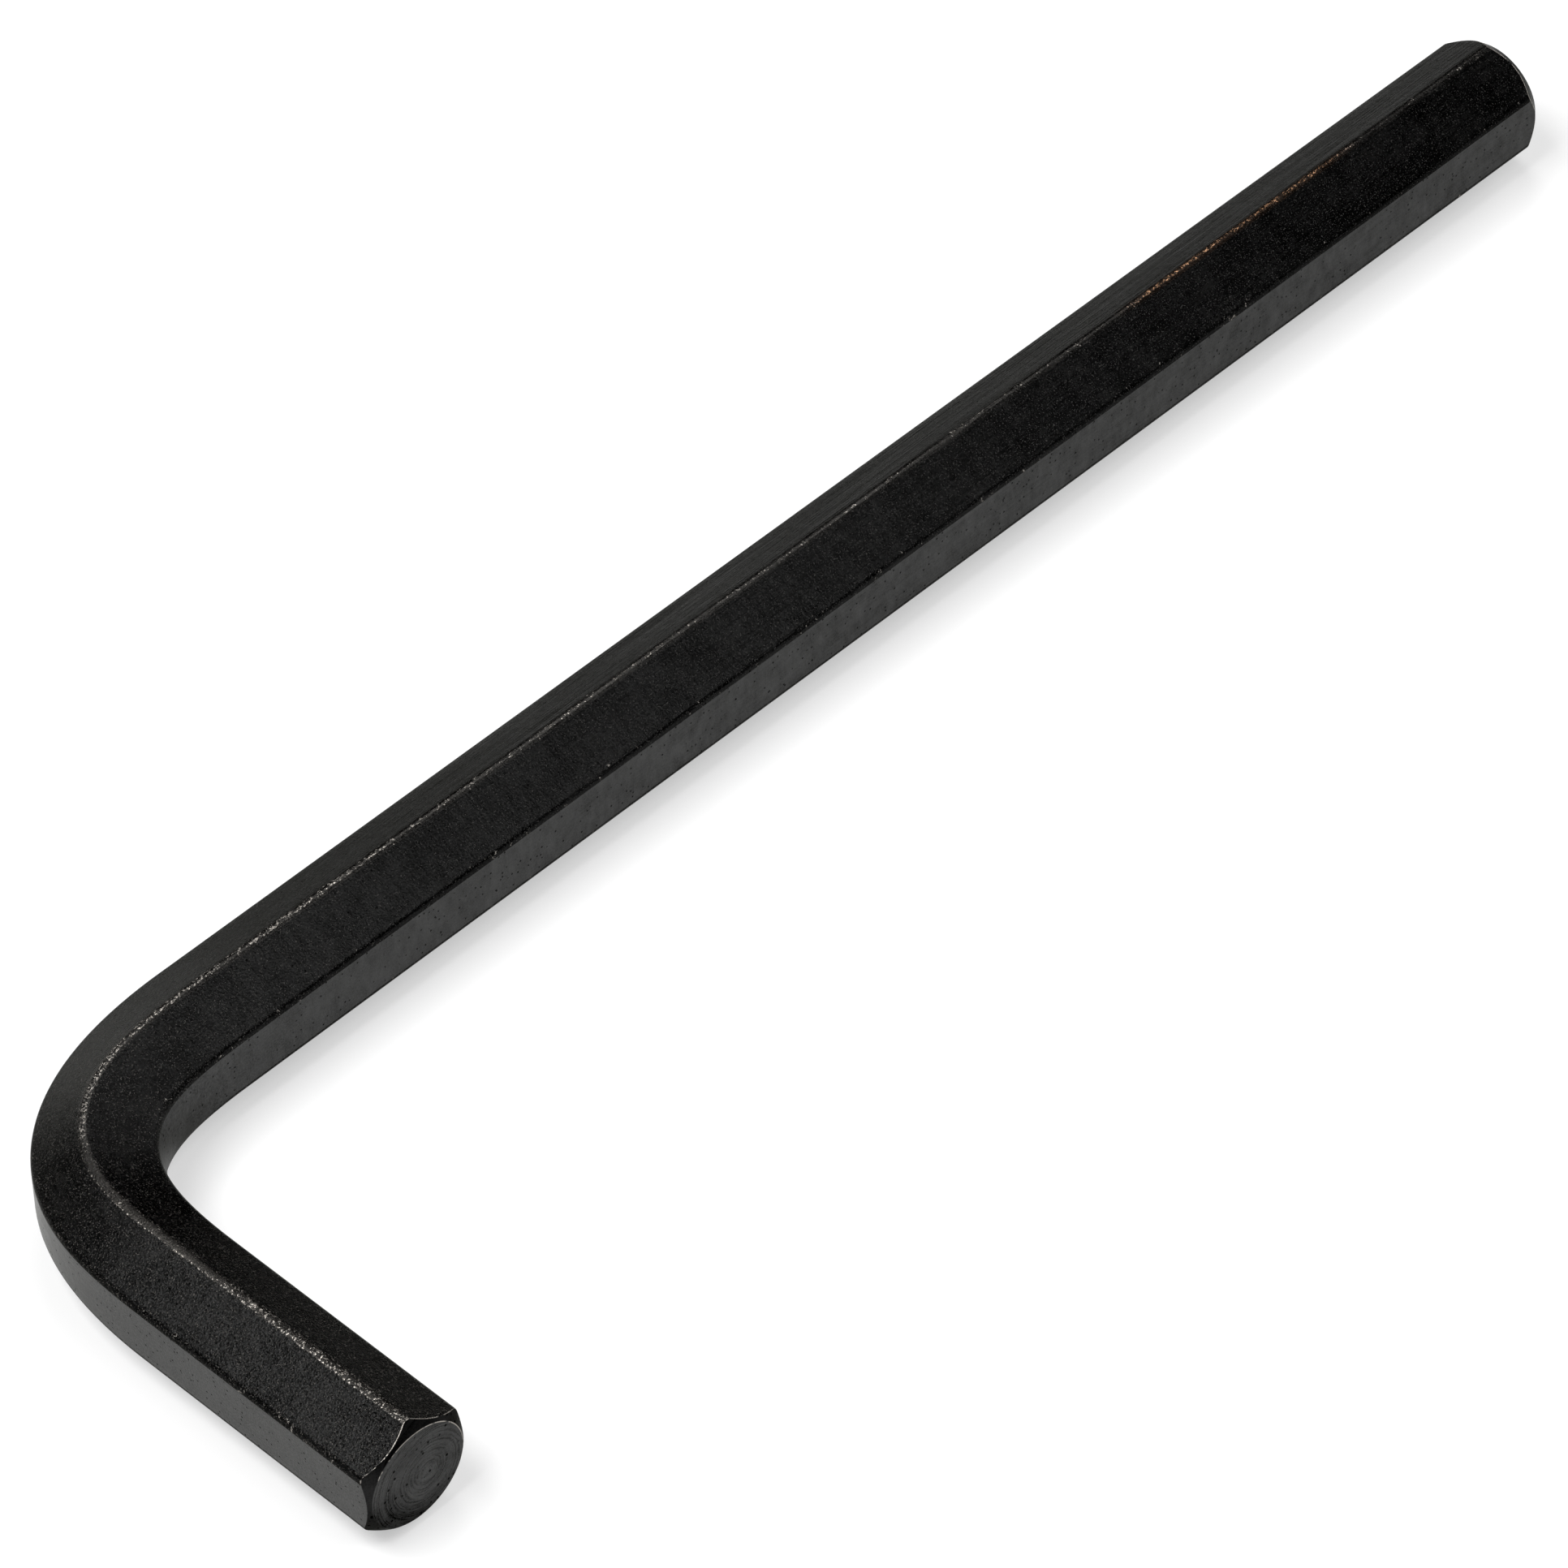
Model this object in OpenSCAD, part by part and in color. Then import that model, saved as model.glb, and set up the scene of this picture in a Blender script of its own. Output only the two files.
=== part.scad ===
// Hex key: one length of hexagonal tool steel bar, chamfered at both ends and
// bent once through a right angle. It lies with the plane of the bend level and
// rests on the rounded bottom edges of both arms. The long arm runs along +X,
// the short arm runs along -Y, and the origin is under the middle of the box
// that the key fills.

/* [Bar] */
// Distance across the flats of the bar, which is the size of the key
across_flats = 10; // [6:0.5:17]
// Radius of the rounding along the six long edges of the bar
edge_radius = 0.8; // [0.2:0.05:1.5]

/* [Arms] */
// Length of the long arm over everything, from the outer flat of the short arm
long_arm = 175; // [80:1:300]
// Length of the short arm over everything, from the outer flat of the long arm
short_arm = 50; // [35:1:120]

/* [Bend] */
// Tightest radius of the bend, on the centre line of the bar
bend_radius = 12.5; // [10:0.5:18]
// How gradually the bend starts and ends, where 0 is one circular arc
bend_easing = 0.65; // [0:0.05:0.9]
// How far bending draws the top and bottom edges toward the outside of the bend
ridge_shift = 0.8; // [0:0.1:2]
// How much stretching narrows the flat on the outside of the bend
outside_narrowing = 1.4; // [0:0.1:2]
// How much squeezing widens the flat on the inside of the bend
inside_widening = 0.5; // [0:0.1:1.5]
// How far squeezing swells the middle of the inside flat toward the inside
inside_swell = 0.4; // [0:0.1:1]
// How far the two edges of the inside flat roll back from the inside
inside_roll = 0.2; // [0:0.1:1]

/* [Ends] */
// How far the rim of the turned face on the long arm lies inside the flats
long_rim_inset = 0.55; // [0.05:0.05:1]
// Angle between the turned face on the long arm and the chamfer around it
long_chamfer_angle = 48; // [20:1:65]
// How far the rim of the turned face on the short arm lies inside the flats
short_rim_inset = 0.3; // [0.05:0.05:1]
// Angle between the turned face on the short arm and the chamfer around it
short_chamfer_angle = 41; // [20:1:65]

/* [Detail] */
// Number of steps round each rounded edge
edge_steps = 4; // [2:1:8]
// Number of steps across the flat on the inside of the bend
swell_steps = 4; // [2:1:8]
// Length of bar in each step along the bend
bend_step = 1.1; // [0.8:0.1:4]
// Number of steps round each turned end
turned_steps = 120; // [24:12:180]

/* [Hidden] */

steel_colour = [0.13, 0.13, 0.14];

// The section is drawn with X toward the inside of the bend and Y up. Its
// flats face 0, 60, 120 ... degrees and its edges lie half way between them.
flat_pitch = 60;
half_pitch = flat_pitch / 2;
flat_r = across_flats / 2;
half_flat = flat_r * tan(half_pitch);
edge_centre_r = (flat_r - edge_radius) / cos(half_pitch);
crown_r = edge_centre_r + edge_radius;

// The blank that the cone at each end is turned on is a little larger than the bar.
blank_r = crown_r + edge_radius;

// Length of bar that takes part in the bend. Easing leaves less of the turn to
// its two ends, so the same tightest radius needs more bar.
turn_angle = 90;
turn_length = bend_radius * turn_angle * PI / 180 * (1 + bend_easing);
turn_steps = ceil(turn_length / bend_step);

// Both arms start where the bend ends, at the same distance from the corner
// where their centre lines meet.
turn_path = centre_line();
arm_start = turn_path[turn_steps].x;

// Points of one rounded edge of the bar, round the edge at the given angle
function edge_arc(angle) =
    [for (i = [0:edge_steps])
        let (a = angle - half_pitch + i * flat_pitch / edge_steps)
        edge_centre_r * [cos(angle), sin(angle)] + edge_radius * [cos(a), sin(a)]];

// Points that divide the inside flat, from its bottom edge to its top edge
function inside_flat() =
    let (half_width = edge_centre_r * sin(half_pitch))
    [for (i = [1:swell_steps - 1])
        [flat_r, half_width * (2 * i / swell_steps - 1)]];

// The plain section, from the top edge of the inside flat round to its bottom edge
plain_section = [for (k = [0:5]) each edge_arc(half_pitch + k * flat_pitch)];

// The same section with the inside flat divided, for the part that is formed
formed_section = concat(plain_section, inside_flat());

// Direction of the centre line at a share of its way through the bend, as an
// angle turned from the short arm's direction. The rate of turn rises smoothly
// to the middle of the bend and falls again.
function heading(share) =
    turn_angle * (share - bend_easing * sin(360 * share) / (2 * PI));

// Centre line through the bend, from the short arm to the long arm, walked in
// equal steps along the heading in the middle of each step
function centre_line() =
    let (step = turn_length / turn_steps)
    [for (i = 0, p = [0, 0]; i <= turn_steps;
        p = p + step * forward(heading((i + 0.5) / turn_steps)), i = i + 1) p];

// Unit vectors along the bar and toward the inside of the bend
function forward(angle) = [sin(angle), cos(angle)];
function inward(angle) = [cos(angle), -sin(angle)];

// Share of the full distortion at a share of the way through the bend: none at
// both ends, all of it in the middle
function forming(share) = pow(sin(180 * share), 2);

// A point of the section after forming, where amount goes from 0 to 1
function formed(p, amount) =
    let (side = p.x / flat_r)
    let (squeeze = pow(max(side, 0), 2))
    let (to_edge = min(pow(p.y / half_flat, 2), 1))
    let (swell = inside_swell * (1 - to_edge) - inside_roll * to_edge)
    let (shift = squeeze * swell - ridge_shift * (1 - side * side))
    let (widening = inside_widening * (1 + side) / 2)
    let (narrowing = outside_narrowing * (1 - side) / 2)
    let (stretch = (widening - narrowing) / (2 * half_flat))
    [p.x + amount * shift, p.y * (1 + amount * stretch)];

// One ring of the loft: the formed section, set square to the centre line
function ring(i) =
    let (share = i / turn_steps)
    let (place = turn_path[i] - [0, arm_start])
    let (across = inward(heading(share)))
    [for (p = formed_section)
        let (q = formed(p, forming(share)))
        let (xy = place + q.x * across)
        [xy.x, xy.y, q.y]];

// The bent part of the bar: a loft through the rings
module bend() {
    n = len(formed_section);
    points = [for (i = [0:turn_steps]) each ring(i)];
    sides = [for (i = [0:turn_steps - 1], j = [0:n - 1])
        let (a = i * n + j)
        let (b = i * n + (j + 1) % n)
        each [[a, b, b + n], [a, b + n, a + n]]];
    first_cap = [for (j = [n - 1:-1:0]) j];
    last_cap = [for (j = [0:n - 1]) turn_steps * n + j];
    polyhedron(points, concat(sides, [first_cap, last_cap]), convexity = 4);
}

// The blank that the end of an arm is turned from, standing on its inner end
module turned_blank(length, face_r, chamfer_angle) {
    cone_depth = (blank_r - face_r) * tan(chamfer_angle);
    rotate_extrude($fn = turned_steps)
        polygon([
            [0, 0],
            [blank_r, 0],
            [blank_r, length - cone_depth],
            [face_r, length],
            [0, length]
        ]);
}

// The straight part of an arm, standing on the bend, up to a turned end at the
// given distance from the corner where the centre lines meet
module arm(end, face_r, chamfer_angle) {
    length = end - arm_start;
    translate([0, 0, arm_start])
        intersection() {
            linear_extrude(length)
                polygon(plain_section);
            turned_blank(length, face_r, chamfer_angle);
        }
}

// The whole key, from the end of the long arm to the end of the short arm
module hex_key() {
    color(steel_colour)
        translate([(across_flats - long_arm) / 2, (short_arm - across_flats) / 2, crown_r])
            union() {
                rotate([90, 0, 90])
                    arm(long_arm - flat_r, flat_r - long_rim_inset, long_chamfer_angle);
                bend();
                rotate([90, 0, 0])
                    arm(short_arm - flat_r, flat_r - short_rim_inset, short_chamfer_angle);
            }
}

hex_key();
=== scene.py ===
import math

import bpy
from mathutils import Matrix, Vector


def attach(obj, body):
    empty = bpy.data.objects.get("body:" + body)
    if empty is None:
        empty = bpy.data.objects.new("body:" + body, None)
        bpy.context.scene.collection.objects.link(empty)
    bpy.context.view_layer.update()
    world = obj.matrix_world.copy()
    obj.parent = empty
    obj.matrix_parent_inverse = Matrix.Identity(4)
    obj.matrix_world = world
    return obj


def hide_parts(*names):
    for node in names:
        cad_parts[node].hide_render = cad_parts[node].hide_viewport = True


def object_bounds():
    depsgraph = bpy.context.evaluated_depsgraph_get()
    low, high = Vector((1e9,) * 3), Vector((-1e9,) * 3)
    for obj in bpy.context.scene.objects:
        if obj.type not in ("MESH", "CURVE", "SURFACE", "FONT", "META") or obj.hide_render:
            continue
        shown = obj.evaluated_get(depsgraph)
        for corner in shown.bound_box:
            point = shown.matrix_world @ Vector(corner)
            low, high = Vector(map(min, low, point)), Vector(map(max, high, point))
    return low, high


bl_info = {
    "name": "Hex Key",
    "version": (1, 0, 0),
    "blender": (4, 5, 0),
    "location": "3D View > Sidebar > Hex Key",
    "description": "A bent hexagonal steel key with black oxide, worn edges and turned ends",
    "category": "Object",
}

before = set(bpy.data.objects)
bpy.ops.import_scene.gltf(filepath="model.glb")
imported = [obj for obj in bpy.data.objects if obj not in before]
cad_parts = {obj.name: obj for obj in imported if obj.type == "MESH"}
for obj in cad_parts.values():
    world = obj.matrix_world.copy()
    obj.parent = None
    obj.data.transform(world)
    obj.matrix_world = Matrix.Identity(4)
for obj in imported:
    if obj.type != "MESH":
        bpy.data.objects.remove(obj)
CAD_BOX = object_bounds()
CAD_SIZE = CAD_BOX[1] - CAD_BOX[0]

MM = 0.001

# Steps of the mesh round the section: across each rounded edge and across each flat
EDGE_STEPS = 6
FLAT_STEPS = 10
SECTOR_STEPS = EDGE_STEPS + FLAT_STEPS
COLUMNS = 6 * SECTOR_STEPS

# Angle between two flats of the section, and the angle of the bend
SIXTH_TURN = math.radians(60)
BEND_ANGLE = math.radians(90)

# Faces whose rise is below this belong to the upright flats
UPRIGHT_RISE = 0.05

# Rings of the mesh, from the middle of an end face out to its rim, round the rim, up
# the chamfer, round on to the flats and level along them
FACE_RINGS = 16
RIM_RINGS = 4
CHAMFER_RINGS = 8
CROWN_RINGS = 4
LEVEL_RINGS = 4
RIM_START = FACE_RINGS
CHAMFER_START = RIM_START + RIM_RINGS
CROWN_START = CHAMFER_START + CHAMFER_RINGS
LEVEL_START = CROWN_START + CROWN_RINGS
END_RINGS = LEVEL_START + LEVEL_RINGS

# Length of each turned end with its level rings, as a share of the width across the flats
END_LENGTH_SHARE = 0.25

# Rings along each arm and round the bend
SHORT_ARM_RINGS = 100
BEND_RINGS = 128
LONG_ARM_RINGS = 480
BEND_START = END_RINGS + SHORT_ARM_RINGS
LONG_ARM_START = BEND_START + BEND_RINGS
LAST_RING = LONG_ARM_START + LONG_ARM_RINGS + END_RINGS

# Tint of the reflection at flat angles, where 1 leaves it as it is
SLOPING_RIM_TINT = 0.51
# The inside upright flat's lower tint is painted shade, a dim reflection of the inside corner, and
# the outside upright flat's higher tint is a painted reflection
INSIDE_PAINTED_SHADE_RIM_TINT = 0.45
OUTSIDE_PAINTED_REFLECTION_RIM_TINT = 0.8
TURNED_RIM_TINT = 0.45

# Share of the blue in that tint, which makes it a little warm
RIM_TINT_BLUE = 0.985

# The lightest patches of the oxide, as a multiple of its colour
OXIDE_RANGE = 8

# Scales of the noise, in cycles per millimetre
GRAIN_SCALE = 6.0
GLINT_SCALE = 8.5
SPECKLE_SCALE = 5.0
CHIP_SCALE = 1.7
NICK_SCALE = 1.3
MOTTLE_SCALE = 0.35
TURNING_SCALE = 6.5

# What all the finishes share: their roughness, and the sides, depth and darkness of pits
MEAN_ROUGHNESS = 0.33
PIT_SLOPE = 0.14
PIT_DEPTH = 0.02
PIT_DARKNESS = 0.85

# Places along the bar where the finish changes, in millimetres from the short end
BORDER_START = 24.0
BORDER_END = 36.0
# From LIGHT_START to the inside and outside ends below, the oxide is painted lighter, a painted
# highlight just past the bend; the worn top edge also widens from LIGHT_START
LIGHT_START = 40.0
PAINTED_LIGHT_INSIDE_END = 45.0
PAINTED_LIGHT_OUTSIDE_END = 57.0
BRIGHT_EDGE_END = 72.0
RUST_START = 165.0
RUST_END = 187.0

# Length over which such a change comes or goes, in millimetres
SHORT_FADE = 4.0
LONG_FADE = 8.0

# Slower changes along the bar: where each starts and how far it takes, in millimetres
# Painted shade on the inside of the short arm fades over this stretch
SHORT_INSIDE_PAINTED_SHADE_FADES = (20.0, 20.0)
SHORT_WEAR_ENDS = (21.0, 5.0)
COARSE_GRAIN_ENDS = (30.0, 45.0)
DRAW_MARKS_BEGIN = (60.0, 50.0)
WEAR_FADES = (60.0, 120.0)
# Painted shade fades over the first stretch, up to the long arm, and grows toward the far end over
# the second
PAINTED_SHADE_ENDS_ON_LONG_ARM = (80.0, 40.0)
FAR_END_PAINTED_SHADE = (130.0, 75.0)

# Half the width of the rounding of an edge, in millimetres round the section
EDGE_HALF_WIDTH = 0.42

# Middle of the turning marks on an end face, in millimetres from the bar's axis: toward
# the inside of the bend, and up
TURNING_CENTRE = (1.0, -0.4)

# Added to the radius of the turning marks, so nothing is divided by zero in their middle
SMALLEST_RADIUS = 0.001

# Coincident points of the grid lie closer than this, and all others lie further apart
WELD_DISTANCE = 0.000002


class KeySizes(bpy.types.PropertyGroup):
    """Sizes of the key"""

    across_flats: bpy.props.FloatProperty(
        name="Across Flats", description="Distance across the flats of the bar",
        default=10 * MM, min=4 * MM, unit="LENGTH", precision=4)
    edge_radius: bpy.props.FloatProperty(
        name="Edge Radius", description="Rounding along the six long edges of the bar",
        default=0.8 * MM, min=0.1 * MM, unit="LENGTH", precision=5)
    long_arm: bpy.props.FloatProperty(
        name="Long Arm", description="Length of the long arm over everything",
        default=CAD_SIZE.x, min=50 * MM, unit="LENGTH", precision=4)
    short_arm: bpy.props.FloatProperty(
        name="Short Arm", description="Length of the short arm over everything",
        default=CAD_SIZE.y, min=30 * MM, unit="LENGTH", precision=4)
    bend_radius: bpy.props.FloatProperty(
        name="Bend Radius", description="Tightest radius of the centre line in the bend",
        default=12.5 * MM, min=5 * MM, unit="LENGTH", precision=4)
    bend_easing: bpy.props.FloatProperty(
        name="Bend Easing", description="How gradually the bend starts and ends",
        default=0.65, min=0, max=1, subtype="FACTOR")
    ridge_shift: bpy.props.FloatProperty(
        name="Ridge Shift", description="How far bending draws the top and bottom edges outward",
        default=0.8 * MM, min=0, unit="LENGTH", precision=5)
    outside_narrowing: bpy.props.FloatProperty(
        name="Outside Narrowing", description="How much stretching narrows the outside flat",
        default=1.4 * MM, min=0, unit="LENGTH", precision=5)
    inside_widening: bpy.props.FloatProperty(
        name="Inside Widening", description="How much squeezing widens the inside flat",
        default=0.5 * MM, min=0, unit="LENGTH", precision=5)
    inside_swell: bpy.props.FloatProperty(
        name="Inside Swell", description="How far the middle of the inside flat swells",
        default=0.4 * MM, min=0, unit="LENGTH", precision=5)
    inside_roll: bpy.props.FloatProperty(
        name="Inside Roll", description="How far the edges of the inside flat roll back",
        default=0.2 * MM, min=0, unit="LENGTH", precision=5)
    long_rim_inset: bpy.props.FloatProperty(
        name="Long Rim Inset", description="From the flats in to the turned face on the long arm",
        default=0.55 * MM, min=0.1 * MM, unit="LENGTH", precision=5)
    long_chamfer_angle: bpy.props.FloatProperty(
        name="Long Chamfer Angle", description="Between the long arm's turned face and chamfer",
        default=math.radians(48), min=0.2, max=1.2, subtype="ANGLE", unit="ROTATION")
    short_rim_inset: bpy.props.FloatProperty(
        name="Short Rim Inset", description="From the flats in to the turned face on the short arm",
        default=0.3 * MM, min=0.1 * MM, unit="LENGTH", precision=5)
    short_chamfer_angle: bpy.props.FloatProperty(
        name="Short Chamfer Angle", description="Between the short arm's turned face and chamfer",
        default=math.radians(41), min=0.2, max=1.2, subtype="ANGLE", unit="ROTATION")
    arris_rounding: bpy.props.FloatProperty(
        name="Arris Rounding", description="Rounding where faces and chamfers meet",
        default=0.06 * MM, min=0.01 * MM, unit="LENGTH", precision=5)


class KeyColours(bpy.types.PropertyGroup):
    """Colours of the key and the stage"""

    # The sloping flats' oxide is far darker than the upright flats' oxide: painted shade on the
    # four sloping flats
    sloping: bpy.props.FloatVectorProperty(
        name="Sloping Flats", description="Colour of the oxide on the four flats that slope",
        default=(0.0125, 0.0125, 0.0123), min=0, max=1, size=3, subtype="COLOR")
    upright: bpy.props.FloatVectorProperty(
        name="Upright Flats", description="Colour of the oxide on the two flats that stand upright",
        default=(0.069, 0.069, 0.0685), min=0, max=1, size=3, subtype="COLOR")
    steel: bpy.props.FloatVectorProperty(
        name="Bare Steel", description="Colour of the steel where the oxide is worn off",
        default=(0.36, 0.335, 0.305), min=0, max=1, size=3, subtype="COLOR")
    rust: bpy.props.FloatVectorProperty(
        name="Rust", description="Colour of the thin rust on worn edges",
        default=(0.42, 0.24, 0.14), min=0, max=1, size=3, subtype="COLOR")
    floor: bpy.props.FloatVectorProperty(
        name="Floor", description="Colour of the studio floor",
        default=(0.9, 0.9, 0.9), min=0, max=1, size=3, subtype="COLOR")


class StageSettings(bpy.types.PropertyGroup):
    """Camera, lamps and floor of the studio"""

    camera_azimuth: bpy.props.FloatProperty(
        name="Camera Azimuth", description="Turn of the view from looking along +Y",
        default=math.radians(-43.5), subtype="ANGLE", unit="ROTATION")
    camera_elevation: bpy.props.FloatProperty(
        name="Camera Elevation", description="Height of the camera above the horizon",
        default=math.radians(45.86), subtype="ANGLE", unit="ROTATION")
    camera_roll: bpy.props.FloatProperty(
        name="Camera Roll", description="Turn of the camera about its line of sight",
        default=math.radians(-2.255), subtype="ANGLE", unit="ROTATION")
    camera_distance: bpy.props.FloatProperty(
        name="Camera Distance", description="From the point looked at to the camera",
        default=0.812, unit="LENGTH")
    camera_lens: bpy.props.FloatProperty(
        name="Lens", description="Focal length in millimetres on a 36 mm sensor",
        default=233.9)
    look_at: bpy.props.FloatVectorProperty(
        name="Look At", description="Point in the middle of the picture",
        default=(-12.61 * MM, 5.90 * MM, 5.65 * MM), size=3, subtype="TRANSLATION", unit="LENGTH")


class Quantity:
    """A value in a node tree, which takes part in formulas as a number does."""

    def __init__(self, tree, socket):
        self.tree = tree
        self.socket = socket

    def __add__(self, other):
        return work_out(self.tree, "ADD", self, other)

    def __radd__(self, other):
        return work_out(self.tree, "ADD", other, self)

    def __sub__(self, other):
        return work_out(self.tree, "SUBTRACT", self, other)

    def __rsub__(self, other):
        return work_out(self.tree, "SUBTRACT", other, self)

    def __mul__(self, other):
        return work_out(self.tree, "MULTIPLY", self, other)

    def __rmul__(self, other):
        return work_out(self.tree, "MULTIPLY", other, self)

    def __truediv__(self, other):
        return work_out(self.tree, "DIVIDE", self, other)

    def __abs__(self):
        return work_out(self.tree, "ABSOLUTE", self)

    def floor(self):
        return work_out(self.tree, "FLOOR", self)

    def root(self):
        return work_out(self.tree, "SQRT", self)

    def sin(self):
        return work_out(self.tree, "SINE", self)

    def cos(self):
        return work_out(self.tree, "COSINE", self)

    def tan(self):
        return work_out(self.tree, "TANGENT", self)

    def clamped(self):
        """The value, held between 0 and 1."""
        node = add_node(self.tree, "ShaderNodeClamp", inputs={"Value": self})
        return Quantity(self.tree, node.outputs["Result"])


def feed(tree, socket, value):
    """Links a quantity to a socket, or sets the socket to a plain value."""
    if isinstance(value, Quantity):
        tree.links.new(value.socket, socket)
    else:
        socket.default_value = value


def add_node(tree, kind, settings=(), inputs=()):
    """Adds a node with the given settings and inputs, both as dictionaries."""
    node = tree.nodes.new(kind)
    for name, value in dict(settings).items():
        setattr(node, name, value)
    for name, value in dict(inputs).items():
        feed(tree, node.inputs[name], value)
    return node


def work_out(tree, operation, *values):
    """The result of a Math node."""
    node = add_node(tree, "ShaderNodeMath", {"operation": operation})
    for socket, value in zip(node.inputs, values):
        feed(tree, socket, value)
    return Quantity(tree, node.outputs["Value"])


def smaller(a, b):
    return work_out(a.tree, "MINIMUM", a, b)


def larger(a, b):
    return work_out(a.tree, "MAXIMUM", a, b)


def progress(count, start, length):
    """How far count has come from start, from 0 up to 1 at start + length."""
    return ((count - start) / length).clamped()


def joined(x, y, z=0.0):
    """A vector with the given parts."""
    parts = {"X": x, "Y": y, "Z": z}
    node = add_node(x.tree, "ShaderNodeCombineXYZ", inputs=parts)
    return Quantity(x.tree, node.outputs["Vector"])


def parts_of(vector):
    """The three parts of a vector."""
    node = add_node(vector.tree, "ShaderNodeSeparateXYZ", inputs={"Vector": vector})
    return [Quantity(vector.tree, output) for output in node.outputs]


def new_group(name, inputs, outputs):
    """A geometry node tree with float inputs, and its inputs as quantities by name."""
    tree = bpy.data.node_groups.new(name, "GeometryNodeTree")
    for input_name in inputs:
        tree.interface.new_socket(name=input_name, in_out="INPUT", socket_type="NodeSocketFloat")
    for output_name, kind in outputs.items():
        tree.interface.new_socket(name=output_name, in_out="OUTPUT", socket_type=kind)
    source = tree.nodes.new("NodeGroupInput")
    return tree, {name: Quantity(tree, source.outputs[name]) for name in inputs}


def use_group(tree, group, inputs):
    """Puts a group in a tree and gives its outputs by name."""
    node = add_node(tree, "GeometryNodeGroup", {"node_tree": group}, inputs)
    return {output.name: Quantity(tree, output) for output in node.outputs}


def index_of(tree):
    return Quantity(tree, tree.nodes.new("GeometryNodeInputIndex").outputs["Index"])


def hexagon_section_group():
    """The point at a column of the section: X toward the inside of the bend, Y up."""
    tree, given = new_group(
        "Hexagon section",
        ["Column", "Across Flats", "Edge Radius"],
        {"X": "NodeSocketFloat", "Y": "NodeSocketFloat", "Around": "NodeSocketFloat",
         "From Edge": "NodeSocketFloat", "From Top": "NodeSocketFloat",
         "Rise": "NodeSocketFloat"})
    column = given["Column"]
    edge_radius = given["Edge Radius"]
    centre_r = (given["Across Flats"] / 2 - edge_radius) / math.cos(SIXTH_TURN / 2)
    flat_width = centre_r
    arc_length = edge_radius * SIXTH_TURN

    # The columns start on the bottom edge, so the seam is under the bar.
    sector = ((column + 0.5) / SECTOR_STEPS).floor()
    step = column - sector * SECTOR_STEPS
    round_edge = progress(step, 0, EDGE_STEPS)
    across_flat = progress(step, EDGE_STEPS, FLAT_STEPS)
    edge_angle = sector * SIXTH_TURN + math.radians(270)
    arc_angle = edge_angle + (round_edge - 0.5) * SIXTH_TURN
    flat_angle = edge_angle + 2 * SIXTH_TURN
    run = flat_width * across_flat
    x = centre_r * edge_angle.cos() + edge_radius * arc_angle.cos() + run * flat_angle.cos()
    y = centre_r * edge_angle.sin() + edge_radius * arc_angle.sin() + run * flat_angle.sin()

    around = sector * (arc_length + flat_width) + arc_length * round_edge + run
    to_last_edge = abs(arc_length * (round_edge - 0.5)) + run
    to_next_edge = flat_width - run + arc_length / 2
    top_edge = (arc_length + flat_width) * 3 + arc_length / 2

    # Rise is how far the surface faces up or down: 0 on the upright flats and 1 on the top
    # and bottom edges.
    rise = abs(arc_angle.sin())

    result = {"X": x, "Y": y, "Around": around,
              "From Edge": smaller(to_last_edge, to_next_edge),
              "From Top": around - top_edge, "Rise": rise}
    add_node(tree, "NodeGroupOutput", inputs=result)
    return tree


def turned_end_group():
    """Radius and depth of a ring at a turned end, counted from the middle of the face."""
    tree, given = new_group(
        "Turned end",
        ["Ring", "Bar Radius", "Face Radius", "Chamfer Angle", "Rounding", "Length"],
        {"Radius": "NodeSocketFloat", "Depth": "NodeSocketFloat", "Turned": "NodeSocketFloat",
         "Arris": "NodeSocketFloat", "Chamfer": "NodeSocketFloat"})
    ring = given["Ring"]
    rounding = given["Rounding"]
    angle = given["Chamfer Angle"]
    rise = given["Bar Radius"] - given["Face Radius"]
    cone_depth = rise * angle.tan()
    out = rounding * angle.cos()
    back = rounding * angle.sin()

    on_face = progress(ring, 0, FACE_RINGS)
    on_rim = progress(ring, RIM_START, RIM_RINGS)
    on_chamfer = progress(ring, CHAMFER_START, CHAMFER_RINGS)
    on_crown = progress(ring, CROWN_START, CROWN_RINGS)
    on_level = progress(ring, LEVEL_START, LEVEL_RINGS)
    leaving_face = on_rim * (2 - on_rim)
    joining_chamfer = on_rim * on_rim
    leaving_chamfer = on_crown * (2 - on_crown)
    joining_flats = on_crown * on_crown

    radius = (
        (given["Face Radius"] - rounding) * on_face
        + rounding * leaving_face
        + out * joining_chamfer
        + (rise - out * 2) * on_chamfer
        + out * leaving_chamfer
    )
    depth = (
        back * joining_chamfer
        + (cone_depth - back * 2) * on_chamfer
        + back * leaving_chamfer
        + rounding * joining_flats
        + (given["Length"] - cone_depth - rounding) * on_level
    )
    arris = 4 * (on_rim * (1 - on_rim) + on_crown * (1 - on_crown))
    add_node(tree, "NodeGroupOutput", inputs={
        "Radius": radius, "Depth": depth, "Turned": 1 - on_crown, "Arris": arris,
        "Chamfer": on_rim * (1 - on_crown)})
    return tree


def heading_at(share, easing):
    """Angle of the centre line at a share of its way through the bend."""
    return BEND_ANGLE * (share - easing * (share * math.tau).sin() / math.tau)


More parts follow.
